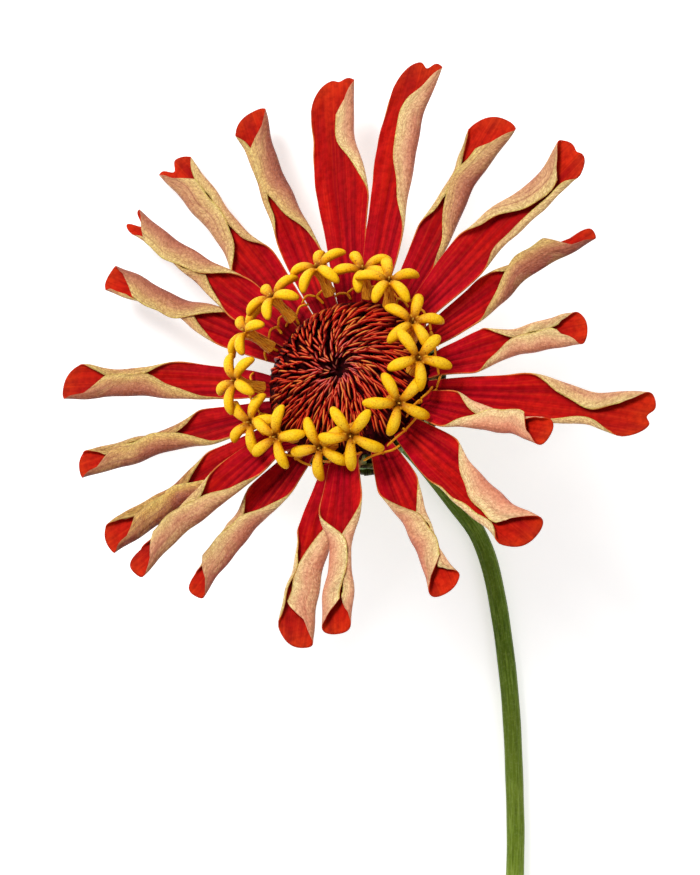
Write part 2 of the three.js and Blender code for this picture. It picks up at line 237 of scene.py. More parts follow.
def swept(length, share, steps, slope_at):
    """How far a curve gets ahead and up; slope_at gives its slope in degrees at a share of it."""
    ahead = 0 * share
    up = 0 * share
    for i in range(steps):
        slope = np.radians(slope_at(share * (i + 0.5) / steps))
        ahead = ahead + np.cos(slope) * length / steps
        up = up + np.sin(slope) * length / steps
    return ahead, up


def round_route(stations, share, step, reference, angle, reach):
    """Places at an angle and a reach round a smooth curve, with angle 0 square to reference."""
    before = along_stations(stations, np.maximum(share - step, 0))
    ahead = along_stations(stations, np.minimum(share + step, 1)) - before
    ahead /= np.linalg.norm(ahead, axis=1)[:, None]
    side = np.cross(reference, ahead)
    side /= np.linalg.norm(side, axis=1)[:, None]
    up = np.cross(ahead, side)
    turned = np.cos(angle)[:, None] * side + np.sin(angle)[:, None] * up
    return along_stations(stations, share) + reach[:, None] * turned


# ---- making and finishing pieces


def deselect_all():
    bpy.ops.object.select_all(action="DESELECT")


def activate(*pieces):
    deselect_all()
    for piece in pieces:
        piece.select_set(True)
    bpy.context.view_layer.objects.active = pieces[0]


def named_piece(name):
    piece = bpy.context.object
    piece.name = name
    piece.data.name = name
    return piece


def places_of(piece):
    co = np.zeros(len(piece.data.vertices) * 3)
    piece.data.vertices.foreach_get("co", co)
    return co.reshape(-1, 3)


def grid_piece(name, across, along):
    """A new flat grid, with s from -1 to 1 across and t from 0 to 1 along at its vertices."""
    deselect_all()
    bpy.ops.mesh.primitive_grid_add(x_subdivisions=across, y_subdivisions=along, size=2)
    piece = named_piece(name)
    x, y, _ = places_of(piece).T
    return piece, x, (y + 1) / 2


def tube_piece(name, sides, rings):
    """A new closed tube along +Z, with the angle, t from 0 to 1 along and out from 0 to 1."""
    deselect_all()
    bpy.ops.mesh.primitive_cylinder_add(vertices=sides, radius=1, depth=2, end_fill_type="TRIFAN")
    piece = named_piece(name)
    bpy.ops.object.mode_set(mode="EDIT")
    bpy.ops.mesh.select_mode(type="EDGE")
    bpy.ops.mesh.select_all(action="DESELECT")
    bpy.ops.object.mode_set(mode="OBJECT")
    places = places_of(piece)
    for edge in piece.data.edges:
        low, high = edge.vertices
        edge.select = abs(places[low, 2] - places[high, 2]) > 1
    bpy.ops.object.mode_set(mode="EDIT")
    bpy.ops.mesh.subdivide(number_cuts=rings - 1)
    bpy.ops.object.mode_set(mode="OBJECT")
    x, y, z = places_of(piece).T
    return piece, np.arctan2(y, x), (z + 1) / 2, np.hypot(x, y).round(3)


def copy_of(piece, name):
    copy = piece.copy()
    copy.data = piece.data.copy()
    copy.name = name
    copy.data.name = name
    bpy.context.scene.collection.objects.link(copy)
    return copy


def put(piece, places, matrix=None):
    """Moves every vertex to its place, given in the matrix's frame."""
    piece.data.vertices.foreach_set("co", np.asarray(places, float).ravel())
    if matrix is not None:
        piece.data.transform(matrix)
    piece.data.update()


def set_attribute(piece, name, values):
    attribute = piece.data.attributes.new(name, "FLOAT", "POINT")
    values = np.broadcast_to(values, len(piece.data.vertices)).astype(float)
    attribute.data.foreach_set("value", values)


def apply_modifier(piece, kind, **settings):
    activate(piece)
    modifier = piece.modifiers.new(kind.lower(), kind)
    for field, value in settings.items():
        setattr(modifier, field, value)
    bpy.ops.object.modifier_apply(modifier=modifier.name)


def join(pieces, name):
    activate(*pieces)
    bpy.ops.object.join()
    return named_piece(name)


def thicken(piece, thickness, **settings):
    settings.update(thickness=thickness * MM, offset=0.0, use_even_offset=False)
    apply_modifier(piece, "SOLIDIFY", **settings)


def finish_piece(piece, material, slot, *nodes):
    """Smooths a piece of the flower, gives it the material if there is one, and hides the nodes
    that it stands for; slot is not used.
    """
    piece.data.polygons.foreach_set("use_smooth", [True] * len(piece.data.polygons))
    piece.data.update()
    if material:
        piece.data.materials.append(material)
    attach(piece, "root")
    if nodes:
        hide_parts(*nodes)


# ---- petals


def half_width(width, t):
    """A petal's half width: a narrow claw, then a long spoon with a blunt tip."""
    spoon = np.sin(np.pi / 2 * np.clip(t / 0.8, 0, 1))
    blunt = 0.12 * np.maximum(0, (t - 0.75) / 0.25) ** 2
    tucked = 0.1 * np.maximum(0, -t / 0.08)
    return width / 2 * (PETAL_CLAW + (1 - PETAL_CLAW) * spoon - blunt - tucked)


def midrib(ray, t):
    """The midrib's places at t, with the directions to its left and up."""
    def ahead(share):
        slope = np.radians(ray.rise + ray.arch * share ** 2)
        heading = np.radians(ray.azimuth + ray.sway * share ** 2)
        level = np.cos(slope)
        return np.stack([np.cos(heading) * level, np.sin(heading) * level, np.sin(slope)], 1)

    steps = 40
    step = ((ray.reach - RING_RADIUS) * t / steps)[:, None]
    angle = math.radians(ray.azimuth)
    start = RING_RADIUS * math.cos(angle), RING_RADIUS * math.sin(angle), CLAW_RISE + ray.level
    place = np.tile(start, (len(t), 1))
    for i in range(steps):
        place += ahead(t * (i + 0.5) / steps) * step
    place[:, 2] -= ray.level * (1 - smooth((t + 0.09) / 0.14))
    heading = np.radians(ray.azimuth + ray.sway * t ** 2)
    left = np.stack([-np.sin(heading), np.cos(heading), 0 * t], 1)
    return place, left, np.cross(ahead(t), left)


def petal_places(ray, s, t, ripple):
    """Where a petal's points go: s from -1 at the left margin to 1 at the right, t along."""
    side = np.abs(s)
    left, right = (CLAW_FLAT, *ray.left), (CLAW_FLAT, *ray.right)
    tuck = CLAW_LENGTH / (ray.reach - RING_RADIUS)
    t = (1 + tuck) * t - tuck
    # The tip: round as far as the folds, drawn back on the rolled flaps, notched in the middle.
    fold_side = np.minimum(1, np.where(s < 0, left[-1], right[-1]) + 0.07)
    corner = 1 - np.sqrt(1 - 0.93 * np.minimum(1, side / fold_side) ** 4)
    flap = np.maximum(0, side - fold_side)
    notch = ray.notch * np.exp(-((s / NOTCH_WIDTH) ** 2))
    short = 0.05 * side ** 2 + 1.2 * ray.rounding * corner + 0.16 * flap + notch
    t = t - short * smooth((t - 0.55) / 0.45)
    # The margins: both roll in over the face, and the one that stays flat for less lies on top.
    wave = WIDTH_WAVE * np.sin(2 * np.pi * (2.1 * t + ripple[0])) * smooth(t / 0.3)
    half = half_width(ray.width, t) * (1 + wave)
    flats = along_stations(left, t), along_stations(right, t)
    upper = (s < 0) == (left[3] < right[3])
    upper_length = half * (1 + BROADER * smooth((t - 0.3) / 0.3))
    lower_length = np.minimum(half, 2 * half * (flats[0] + flats[1]) - upper_length + OVERLAP)
    length = side * np.where(upper, upper_length, lower_length)
    wave = np.sin(2 * np.pi * (2.3 * t + ripple[0]))
    wave = wave + 0.6 * np.sin(2 * np.pi * (5.1 * t + ripple[1]))
    flat = np.where(s < 0, *flats) + FOLD_WAVE * wave * smooth(t / 0.3)
    fold = np.pi * np.where(upper, ROLL_RADIUS[1], ROLL_RADIUS[0]) / half
    full_turn = np.where(upper, ROLL_TURN[1], ROLL_TURN[0])
    out, over = swept(length, length / half, 32, lambda share: (
        TROUGH * share + (full_turn - TROUGH) * smooth((share - flat) / fold + 0.5)
    ))
    groove = np.exp(-(((side - SIDE_GROOVE) / 0.12) ** 2)) + 0.6 * np.exp(-((side / 0.08) ** 2))
    over = over - GROOVE_DEPTH * groove * smooth(t / 0.15) * (1 - smooth((t - 0.6) / 0.35))
    pucker = np.sin(2 * np.pi * (7 * t + ripple[2] + 2 * side)) * smooth((side - 0.5) / 0.3)
    over = over + PUCKER_DEPTH * pucker * smooth((t - 0.2) / 0.3)
    place, leftwards, up = midrib(ray, t)
    return place - leftwards * (np.sign(s) * out)[:, None] + up * over[:, None]


def make_petals(face, back):
    """A petal for each ray floret, with the face on its upper skin and the back under it."""
    draw = np.random.default_rng(SEED)
    for i, ray in enumerate(RAYS):
        name = f"ray_petal_{i + 1:02d}"
        petal, s, t = grid_piece(name + "_fine", 48, 84)
        put(petal, petal_places(ray, s, t, draw.uniform(0, 1, 3)), HEAD)
        set_attribute(petal, "warmth", ray.warmth)
        set_attribute(petal, "tone", draw.uniform(0, 1))
        petal.data.materials.append(face)
        petal.data.materials.append(back)
        thicken(petal, PETAL_THICKNESS, material_offset=1, material_offset_rim=0)
        finish_piece(petal, None, "ray_petal", name)


def make_styles(material):
    """The forked style of each ray floret, which curls over the foot of its petal."""
    draw = np.random.default_rng(SEED + 1)
    thread, *grid = tube_piece("style_thread", 8, 14)
    threads = []
    for ray in RAYS:
        fork = np.array((STYLE_FORK[0], 0, ray.level + STYLE_FORK[1]))
        fork += draw.uniform(-0.3, 0.3, 3)
        foot = np.array((STYLE_FOOT[0], draw.uniform(-0.4, 0.4), ray.level + STYLE_FOOT[1]))
        ends = []
        for side in (-1, 1):
            spread = draw.uniform(-0.6, 0.5), side * draw.uniform(1.8, 3), draw.uniform(-0.5, 0.4)
            ends.append(fork + np.array(spread))
        turned = HEAD @ turn(ray.azimuth)
        for start, end, radius, curl in (
            (foot, fork, 0.17, 0.1), (fork, ends[0], 0.15, 0.3), (fork, ends[1], 0.15, 0.3),
        ):
            arm = copy_of(thread, "style_arm")
            middle = (start + end) / 2 + np.array((draw.uniform(0, 0.5), 0, curl))
            stations = np.array((start, middle, end + np.array((0, 0, -0.5 * curl))))
            put(arm, thread_places(stations, radius, *grid), turned)
            threads.append(arm)
    bpy.data.objects.remove(thread)
    finish_piece(join(threads, "ray_styles"), material, "disc_floret")


def make_ovaries(material):
    """The ribbed ovary of each ray floret, a pale wedge between its petal and the receptacle."""
    draw = np.random.default_rng(SEED + 5)
    for i, ray in enumerate(RAYS):
        ovary, angle, t, out = tube_piece(f"ray_ovary_{i + 1:02d}", 24, 12)
        ribs = 1 + 0.07 * np.cos(6 * angle)
        radius = along_stations((0.5, 1.0, 1.15, 0.8, 0.45), t) * out * ribs
        slant = 1.9 * t
        places = np.stack([
            9.7 + slant + 0.6 * radius * np.cos(angle),
            1.1 * radius * np.sin(angle),
            -1.5 + 1.6 * t - 0.3 * slant - 0.5 * radius * np.cos(angle),
        ], 1)
        put(ovary, places, HEAD @ turn(ray.azimuth + draw.uniform(-1, 1)))
        set_attribute(ovary, "along", t)
        finish_piece(ovary, material, "bract")


def thread_places(stations, radius, angle, t, out):
    """A tube of one radius, with rounded ends, along a curve through its stations."""
    rounded = np.sqrt(np.clip(1 - (2 * t - 1) ** 10, 0.04, 1))
    reach = radius * out * rounded
    return round_route(stations, t, 0.01, (0.31, 0.17, 0.93), angle, reach)


# ---- the disc


def dome_height(radius):
    return np.interp(radius, [r for r, _ in DOME], [z for _, z in DOME])


def make_dome(material):
    """The dark dome that the chaff stands on, turned ring by ring from its foot; its near black is
    painted shade for the gaps between the scales.
    """
    deselect_all()
    bpy.ops.mesh.primitive_circle_add(
        vertices=48, radius=DOME_FOOT_RADIUS, fill_type="NGON", location=(0, 0, DISC_FOOT),
    )
    dome = named_piece("chaff_dome")
    bpy.ops.object.transform_apply(location=True)
    rings = [DOME_WAIST]
    for ring_radius in (10.2, 9.4, 8, 6.5, 5, 3.5, 2.2, 1.2, 0.5):
        rings.append((ring_radius, dome_height(ring_radius) - DOME_DEPTH))
    radius, height = DOME_FOOT_RADIUS, DISC_FOOT
    bpy.ops.object.mode_set(mode="EDIT")
    for next_radius, next_height in rings:
        lift = (0, 0, next_height - height)
        bpy.ops.mesh.extrude_region_move(TRANSFORM_OT_translate={"value": lift})
        scale = next_radius / radius
        bpy.ops.transform.resize(value=(scale, scale, 1))
        radius, height = next_radius, next_height
    bpy.ops.object.mode_set(mode="OBJECT")
    dome.data.transform(HEAD)
    finish_piece(dome, material, "chaff", "chaffy_disc")


def chaff_places(s, t, radius, foot, length, width, draws):
    """A scale at the azimuth 0: folded sharply along its keel, leaning in over the dome."""
    edge = smooth(radius / CHAFF_REACH)
    every_other = np.where(np.round((s + 1) * 2).astype(int) % 2 == 0, 1, -1)
    teeth = 0.1 * every_other * smooth((t - 0.8) / 0.2)
    t = t * (1 + teeth * edge)
    start = CHAFF_SLOPE + 8 * draws[0]
    stop = CHAFF_LAID * edge ** 3 + 10 * draws[1]

    def slope_at(share):
        return start + (stop - start) * smooth(share * CHAFF_BEND)

    along, up = swept(length * t, t, 12, slope_at)
    slope = np.radians(slope_at(t))
    taper = width * (1 - 0.3 * t) * np.sqrt(np.clip(1.02 - t ** 5, 0, 1))
    steep = np.radians(FOLD_STEEPNESS) * smooth(np.abs(s) / 0.3 + 0.3)
    across = taper * s * np.cos(steep)
    below = taper * np.abs(s) * np.sin(steep)
    swirl = CHAFF_SWIRL + 5 * edge + 9 * draws[2]
    lean = np.radians(swirl) * (0.4 + smooth(t * 1.2))
    x = radius - along * np.cos(lean) - below * np.sin(slope)
    y = along * np.sin(lean) + across
    return np.stack([x, y, foot + up - below * np.cos(slope)], 1)


def make_chaff(material):
    """Scales in a golden spiral and two upright rows round the flank, joined into one piece."""
    draw = np.random.default_rng(SEED + 2)
    places = []
    for k in range(CHAFF_COUNT):
        stray = 0.2 * draw.uniform(-1, 1, 2)
        filled = (k + CHAFF_LEFT_OUT) / (CHAFF_COUNT + CHAFF_LEFT_OUT)
        radius = CHAFF_REACH * math.sqrt(filled) + stray[0]
        angle = k * GOLDEN_ANGLE + stray[1] / radius
        foot = dome_height(radius) - DOME_DEPTH - CHAFF_SINK
        places.append((min(radius, CHAFF_REACH), angle, foot))
    for row, foot in enumerate(FLANK_FEET):
        for k in range(FLANK_COUNT):
            angle = 2 * math.pi * (k + 0.5 * row) / FLANK_COUNT
            places.append((FLANK_RADIUS - 0.2 * row, angle, foot))
    plain, s, t = grid_piece("chaff_scale", 4, 7)
    scales = []
    for radius, angle, foot in places:
        draws = draw.uniform(-1, 1, 4)
        length = min(2.6 + 0.12 * radius + 0.35 * draws[3], 0.6 + 0.55 * radius)
        width = 0.38 + 0.015 * radius
        scale = copy_of(plain, "chaff_scale")
        turned = HEAD @ Matrix.Rotation(angle + 0.02 * draws[2], 4, "Z")
        put(scale, chaff_places(s, t, radius, foot, length, width, draws), turned)
        # heart: 1 at the middle of the disc and 0 at the outermost scale; it places the chaff's
        # nearly black painted shade and the colour of the keels' painted highlight.
        set_attribute(scale, "heart", 1 - radius / CHAFF_REACH)
        set_attribute(scale, "tone", draw.uniform(0, 1))
        scales.append(scale)
    bpy.data.objects.remove(plain)
    chaff = join(scales, "chaff_scales")
    thicken(chaff, CHAFF_THICKNESS)
    finish_piece(chaff, material, "chaff")


def floret_matrix(azimuth, distance, height, lean):
    """From a floret's own frame, whose origin is its throat, to the row frame."""
    return HEAD @ turn(azimuth) @ Matrix.Translation((distance, 0, height)) @ turn(lean, "Y")


def lobe_places(angle, t, out, length, rise, arch, twist):
    """A lobe of a disc floret along +X: a plump finger that arches out and down."""
    bend = length / math.radians(arch)
    rounded = np.sqrt(np.clip(1 - np.abs(2 * t - 1) ** 3.6, 0.01, 1))
    plump = 0.8 + 0.28 * smooth(t / 0.6) - 0.2 * smooth((t - 0.6) / 0.4)
    radius = LOBE_WIDTH / 2 * rounded * plump * out
    way = np.radians(arch * t - rise)
    lift = bend + 0.82 * radius * np.sin(angle)
    x = LOBE_START + bend * math.sin(math.radians(rise)) + lift * np.sin(way)
    y = radius * np.cos(angle) + twist * t ** 2
    z = lift * np.cos(way) - bend * math.cos(math.radians(rise))
    return np.stack([x, y, z], 1)


def floret_tube_places(angle, t, out):
    """The tube from its foot in the chaff up to the throat, with a shallow fold for each lobe."""
    folds = 1 + 0.06 * np.cos(LOBES * angle)
    radius = along_stations((0.85, 0.72, 0.6, 0.68, 1.05), t) * folds * out
    dish = 0.45 * (1 - out) * (t > 0.5)
    return round_places(radius, angle, -TUBE_LENGTH * (1 - t) - dish)


def make_florets(material):
    """The open disc florets: a tube and its lobes, melted into one skin."""
    draw = np.random.default_rng(SEED + 3)
    finger, *finger_grid = tube_piece("floret_lobe", 20, 24)
    tube, *tube_grid = tube_piece("floret_tube", 24, 16)
    for i, (*lie, first_lobe) in enumerate(FLORETS):
        name = f"disc_floret_{i + 1:02d}"
        parts = [copy_of(tube, name + "_tube")]
        put(parts[0], floret_tube_places(*tube_grid))
        for lobe in range(LOBES):
            length = LOBE_LENGTH * draw.uniform(0.93, 1.05)
            rise = LOBE_RISE + draw.uniform(-7, 7)
            arch = LOBE_ARCH + draw.uniform(-14, 14)
            part = copy_of(finger, name + "_lobe")
            heading = first_lobe + 360 / LOBES * lobe + draw.uniform(-5, 5)
            shape = length, rise, arch, draw.uniform(-0.4, 0.4)
            put(part, lobe_places(*finger_grid, *shape), turn(heading))
            parts.append(part)
        floret = join(parts, name + "_fine")
        apply_modifier(floret, "REMESH", mode="VOXEL", voxel_size=FLORET_VOXEL, adaptivity=0)
        apply_modifier(floret, "SMOOTH", factor=0.5, iterations=3)
        places = places_of(floret)
        normals = np.zeros(places.size)
        floret.data.vertex_normals.foreach_get("vector", normals)
        # crest: how far each point faces up in the floret's own frame; it places the painted shade
        # and the painted highlight of the floret's finish
        set_attribute(floret, "crest", 0.5 + 0.5 * normals[2::3])
        set_attribute(floret, "spread", np.hypot(places[:, 0], places[:, 1]))
        set_attribute(floret, "rise", places[:, 2])
        set_attribute(floret, "around", np.arctan2(places[:, 1], places[:, 0]))
        set_attribute(floret, "tone", draw.uniform(0, 1))
        floret.data.transform(floret_matrix(*lie))
        finish_piece(floret, material, "disc_floret", name)
    bpy.data.objects.remove(finger)
    bpy.data.objects.remove(tube)


def make_anthers(material):
    """The dark column of anthers in each floret's throat, with the style's pale tip above it."""
    column, angle, t, out = tube_piece("anther_column", 12, 12)
    radius = along_stations((0.16, 0.16, 0.17, 0.12, 0.06), t) * out
    shape = round_places(radius, angle, 1.1 * t - 0.3)
    columns = []
    for *lie, _ in FLORETS:
        anther = copy_of(column, "anther")
        put(anther, shape, floret_matrix(*lie))
        set_attribute(anther, "along", t)
        columns.append(anther)
    bpy.data.objects.remove(column)
    finish_piece(join(columns, "anther_columns"), material, "disc_floret")


# ---- receptacle, bracts and stem


def over_cup(up, azimuth, offset):
    """Places over the receptacle: radians up from its foot, compass direction, distance above."""
    height = CUP_RIM - (CUP_DEPTH + offset) * np.cos(up)
    return round_places((CUP_RADIUS + offset) * np.sin(up), azimuth, height)


def make_receptacle(material):
    """The green cup under the disc, with ribs that run down to the stem."""
    cup, angle, t, out = tube_piece("receptacle_fine", 78, 26)
    up = np.radians(4 + 84 * t) * np.where(out > 0.5, 1, 0.001)
    ribs = 0.1 * np.cos(26 * angle) * smooth(t / 0.3)
    places = over_cup(up, angle, -0.1 + ribs)
    places[(out < 0.5) & (t > 0.5)] = (0, 0, CUP_RIM)
    put(cup, places, HEAD)
    finish_piece(cup, material, "bract", "receptacle")


def make_bracts(material):
    """Two rows of rounded scales that overlap round the receptacle."""
    draw = np.random.default_rng(SEED + 4)
    for row, count, offset, start, end, first in BRACT_ROWS:
        for i in range(count):
            name = f"{row}_{i + 1:02d}"
            bract, s, t = grid_piece(name + "_fine", 16, 20)
            ragged = 0.012 * np.sin(23 * s + draw.uniform(0, 6))
            ragged = ragged + 0.012 * np.sin(11 * s + draw.uniform(0, 6))
            blunt = (0.2 + 0.02 * draw.uniform(-1, 1)) * s ** 2 * t ** 2
            along = t * (1 - blunt + ragged * smooth((t - 0.8) / 0.2))
            wide = math.pi / count * (1.08 - 0.42 * t ** 5)
            middle = math.radians(first) + 2 * math.pi * i / count
            keel = 0.22 * np.exp(-((s / 0.16) ** 2)) * (1 - smooth((t - 0.5) / 0.5))
            spread = 0.55 * smooth((t - 0.86) / 0.14) + 0.18 * (s > 0) * s
            up = np.radians(start + (end - start) * along)
            places = over_cup(up, middle + s * wide, offset + keel + spread + 0.18 * s)
            put(bract, places, HEAD)
            set_attribute(bract, "tone", draw.uniform(0, 1))
            thicken(bract, BRACT_THICKNESS)
            finish_piece(bract, material, "bract", name)


def make_stem(material):
    """The ribbed stem, thicker at the neck, cut square at its far end."""
    stem, angle, t, out = tube_piece("stem_fine", 54, 200)
    route = np.array(STEM_ROUTE, float)
    legs = np.linalg.norm(np.diff(route, axis=0), axis=1)
    station = np.concatenate([[0], np.cumsum(legs)]) / legs.sum()
    share = np.interp(t, station, np.linspace(0, 1, len(route)))
    way = t * legs.sum()
    radius = NECK_RADIUS + (STEM_RADIUS - NECK_RADIUS) * smooth(way / NECK_LENGTH) - 0.05
    ribs = 1 + RIB_HEIGHT * np.cos(STEM_RIBS * angle + 0.02 * way)
    ribs = ribs + 0.012 * np.sin(0.9 * way + 2 * angle)
    put(stem, round_route(route, share, 0.004, (0, 0, 1), angle, radius * ribs * out), STEM)
    set_attribute(stem, "along", t)
    set_attribute(stem, "around", angle)
    set_attribute(stem, "pith", (t > 0.999) * (out < 0.5))
    finish_piece(stem, material, "stem", "stem")


# ---- materials


def rgb(red, green, blue):
    return (red, green, blue, 1)


class Nodes:
    """Short ways to add and link the nodes of a material or of a shared effect."""

    def __init__(self, tree):
        self.tree = tree

    def add(self, kind, inputs=None, **settings):
        node = self.tree.nodes.new(kind)
        for field, value in settings.items():
            setattr(node, field, value)
        for socket, value in (inputs or {}).items():
            self.feed(node.inputs[socket], value)
        return node

    def feed(self, socket, value):
        if isinstance(value, bpy.types.NodeSocket):
            self.tree.links.new(value, socket)
        else:
            socket.default_value = value

    def attribute(self, name):
        return self.add("ShaderNodeAttribute", attribute_name=name).outputs["Fac"]

    def math(self, operation, a, b=0, c=0):
        return self.add("ShaderNodeMath", {0: a, 1: b, 2: c}, operation=operation).outputs[0]

    def vector_math(self, operation, a, b):
        return self.add("ShaderNodeVectorMath", {0: a, 1: b}, operation=operation).outputs[0]

    def mix(self, share, a, b, blend="MIX"):
        node = self.add("ShaderNodeMix", data_type="RGBA", blend_type=blend)
        self.feed(node.inputs[0], share)
        self.feed(node.inputs[6], a)
        self.feed(node.inputs[7], b)
        return node.outputs[2]

    def ramp(self, value, stops):
        """A colour or mask through stops: a place, then red, green and blue or one number."""
        node = self.add("ShaderNodeValToRGB", {0: value})
        elements = node.color_ramp.elements
        while len(elements) < len(stops):
            elements.new(0.5)
        for element, (place, *colour) in zip(elements, stops):
            element.position = place
            element.color = rgb(*(colour * 3)[:3])
        return node.outputs[0]

    def over(self, body, value, stops, colour, blend="MIX"):
        """The body with a colour laid over it by the mask that a ramp makes of the value."""
        return self.mix(self.ramp(value, stops), body, colour, blend)

    def noise(self, vector, scale, detail=3):
        inputs = {"Vector": vector, "Scale": scale, "Detail": detail, "Roughness": 0.55}
        return self.add("ShaderNodeTexNoise", inputs).outputs["Fac"]

    def place(self):
        return self.add("ShaderNodeTexCoord").outputs["Object"]

    def vector(self, x, y, z=0):
        return self.add("ShaderNodeCombineXYZ", {0: x, 1: y, 2: z}).outputs[0]

    def effect(self, name, **inputs):
        """The outputs of a shared effect, placed with its own values."""
        node = self.add("ShaderNodeGroup", node_tree=bpy.data.node_groups[name])
        for socket, value in inputs.items():
            self.feed(node.inputs[socket], value)
        return node.outputs


class Finish(Nodes):
    """A material with its Principled shader."""

    def __init__(self, name, roughness, specular, **sockets):
        self.material = bpy.data.materials.new(name)
        self.material.use_nodes = True
        super().__init__(self.material.node_tree)
        self.shader = self.tree.nodes["Principled BSDF"]
        sockets.update(Roughness=roughness, Specular_IOR_Level=specular)
        for socket, value in sockets.items():
            self.shader.inputs[socket.replace("_", " ")].default_value = value

    def finish(self, colour, height, strength, distance):
        """Feeds the shader its colour and a bump as deep as the distance in millimetres."""
        self.feed(self.shader.inputs["Base Color"], colour)
        inputs = {"Height": height, "Strength": strength, "Distance": distance * MM}
        self.feed(self.shader.inputs["Normal"], self.add("ShaderNodeBump", inputs).outputs[0])
        return self.material

    def streaks(self, vector, across, along):
        return self.effect("streaks", Vector=vector, Across=across, Along=along)["Height"]

    def grain(self, body, shade, scale, amount):
        return self.effect("grain", Color=body, Shade=shade, Scale=scale, Amount=amount)

    def grained(self, body, shade, scale, amount, strength, distance):
        """Finishes with a fine grain over the body, raised by the same grain."""
        grain = self.grain(body, shade, scale, amount)
        return self.finish(grain["Color"], grain["Height"], strength, distance)


def new_effect(name, inputs, outputs):
    """A new shared effect: its nodes, what it is given and where its results go."""
    tree = bpy.data.node_groups.new(name, "ShaderNodeTree")
    for socket, kind, value in inputs:
        kind = "NodeSocket" + kind
        given = tree.interface.new_socket(name=socket, in_out="INPUT", socket_type=kind)
        given.default_value = value
    for socket, kind in outputs:
        kind = "NodeSocket" + kind
        tree.interface.new_socket(name=socket, in_out="OUTPUT", socket_type=kind)
    nodes = Nodes(tree)
    return nodes, nodes.add("NodeGroupInput").outputs, nodes.add("NodeGroupOutput").inputs


def make_blade_effect():
    """Where a point of a petal or scale lies: its UVs, how far along, how far from the middle."""
    outputs = [("UV", "Vector"), ("Along", "Float"), ("Out", "Float")]
    nodes, _, results = new_effect("blade", [], outputs)
    uv = nodes.add("ShaderNodeUVMap", uv_map="UVMap").outputs[0]
    parts = nodes.add("ShaderNodeSeparateXYZ", {0: uv}).outputs
    tone = nodes.attribute("tone")
    nodes.feed(results["UV"], nodes.vector_math("ADD", uv, nodes.vector(tone, tone, tone)))
    nodes.feed(results["Along"], parts[1])
    from_middle = nodes.math("MULTIPLY_ADD", parts[0], 2, -1)
    nodes.feed(results["Out"], nodes.math("ABSOLUTE", from_middle))


def make_streaks_effect():
    """Noise drawn out into streaks, across and along the vector's own axes."""
    nodes, given, results = new_effect(
        "streaks",
        [("Vector", "Vector", (0, 0, 0)), ("Across", "Float", 20), ("Along", "Float", 2)],
        [("Height", "Float")],
    )
    stretch = nodes.vector(given["Across"], given["Along"], 1)
    drawn = nodes.vector_math("MULTIPLY", given["Vector"], stretch)
    nodes.feed(results["Height"], nodes.noise(drawn, 1, 4))


def make_grain_effect():
    """A fine grain over a colour: its hollows are multiplied by the shade."""
    nodes, given, results = new_effect(
        "grain",
        [("Color", "Color", rgb(1, 1, 1)), ("Shade", "Color", rgb(0, 0, 0)),
         ("Scale", "Float", 1500), ("Amount", "Float", 0.5)],
        [("Color", "Color"), ("Height", "Float")],
    )
    grain = nodes.noise(nodes.place(), given["Scale"], 2)
    hollows = nodes.ramp(grain, [(0.35, 1), (0.6, 0)])
    hollows = nodes.math("MULTIPLY", hollows, given["Amount"])
    nodes.feed(results["Color"], nodes.mix(hollows, given["Color"], given["Shade"], "MULTIPLY"))
    nodes.feed(results["Height"], grain)


def petal_face_finish():
    """The velvety red upper face: crimson at the claw, orange at the tip, with painted shade in its
    grooves, and streaks that carry painted highlight and painted shade.
    """
    finish = Finish("petal face velvety red", 0.6, 0.03)
    blade = finish.effect("blade")
    uv, along, out = blade["UV"], blade["Along"], blade["Out"]
    body = finish.ramp(along, [
        (0, 0.5, 0.004, 0.026), (0.15, 0.49, 0.002, 0.015), (0.45, 0.48, 0.003, 0.005),
        (0.75, 0.48, 0.006, 0.004), (0.92, 0.48, 0.012, 0.003), (1, 0.52, 0.03, 0.004),
    ])
    clouds = finish.streaks(uv, 2.6, 2.2)
    body = finish.over(body, clouds, [(0.48, 0), (0.7, 0.7)], rgb(0.7, 0.014, 0.004))
    body = finish.over(body, clouds, [(0.34, 0.5), (0.5, 0)], rgb(0.24, 0, 0.007))
    # Streaks: the face's own fine stripes, and with them a painted highlight on the raised ones and
    # painted shade in the sunk ones, as the same streaks raise the bump.
    streak = finish.streaks(uv, 30, 1.6)
    body = finish.over(body, streak, [(0.5, 0), (0.72, 0.24)], rgb(0.9, 0.07, 0.014))
    body = finish.over(body, streak, [(0.28, 0.2), (0.48, 0)], rgb(0.16, 0, 0.006))
    # Painted shade: dark lines in the grooves beside the midrib and along it, fading towards the
    # tip.
    from_side_groove = finish.math("ABSOLUTE", finish.math("SUBTRACT", out, SIDE_GROOVE))
    from_groove = finish.math("MINIMUM", from_side_groove, finish.math("MULTIPLY", out, 1.3))
    groove = finish.ramp(from_groove, [(0, 1), (0.17, 0)])
    fade = finish.ramp(along, [(0.02, 0.9), (0.85, 0)])
    body = finish.mix(finish.math("MULTIPLY", groove, fade), body, rgb(0.15, 0, 0.006))
    body = finish.over(body, out, [(0.985, 0), (1, 0.6)], rgb(0.8, 0.3, 0.07))
    velvet = finish.grain(body, rgb(0.4, 0.05, 0.05), 1400, 0.4)
    height = finish.math("MULTIPLY_ADD", velvet["Height"], 0.5, streak)
    return finish.finish(velvet["Color"], height, 0.3, 0.12)


